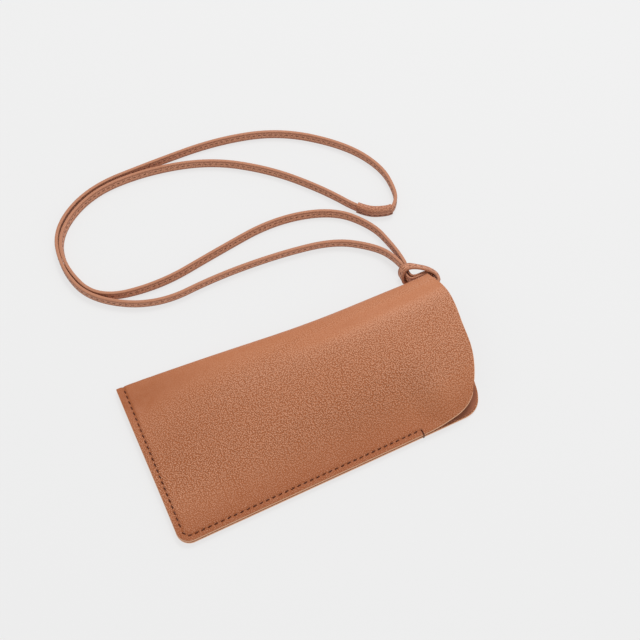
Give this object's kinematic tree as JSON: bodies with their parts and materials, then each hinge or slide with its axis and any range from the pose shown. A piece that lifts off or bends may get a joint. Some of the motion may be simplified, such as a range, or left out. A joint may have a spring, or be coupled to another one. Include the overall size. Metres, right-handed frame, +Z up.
{
  "type": "soft glasses pouch",
  "caption": "Soft leather pouch for glasses, folded along one long edge and sewn along two, with a rounded free mouth corner and a flat leather neck strap hitched beside the mouth.",
  "frame": {"origin": "centre of the pouch's plan, on the surface that its back panel lies on; the strap and its hitch don't count", "axes": "+X along the pouch from the closed short edge to the mouth, +Y from the sewn long edge to the folded long edge, +Z up through the front panel"},
  "size_m": [0.1771, 0.2087, 0.0181],
  "materials": {
    "outer_leather": "fine pebble grain, soft satin",
    "lining": "thin napped microfibre",
    "thread": "waxed twisted thread",
    "strap_leather": "smooth, painted edges"
  },
  "bodies": {
    "pouch": {"back_panel": "outer_leather", "fold_spine": "outer_leather", "front_panel": "outer_leather", "back_lining": "lining", "spine_lining": "lining", "front_lining": "lining", "side_seam_thread": "thread", "bottom_seam_thread": "thread", "seam_bar_tack": "thread", "hitch_loop": "strap_leather", "hitch_knot": "strap_leather"},
    "free_corner": {"front_corner": "outer_leather", "corner_lining": "lining"},
    "strap": {"neck_strap": "strap_leather", "strap_thread": "thread", "strap_joint_sleeve": "strap_leather", "sleeve_thread": "thread"}
  },
  "joints": [
    {"name": "corner_lift", "type": "hinge", "parent": "pouch", "child": "free_corner", "pos_m": [0.042, -0.03946, 0.00534], "axis": [-0.7257, -0.6288, -0.2792], "range_deg": [0, 45]},
    {"name": "strap_swing", "type": "hinge", "parent": "pouch", "child": "strap", "pos_m": [0.0705, 0.0475, 0.0025], "axis": [0, 0, 1], "range_deg": [-45, 10]}
  ]
}
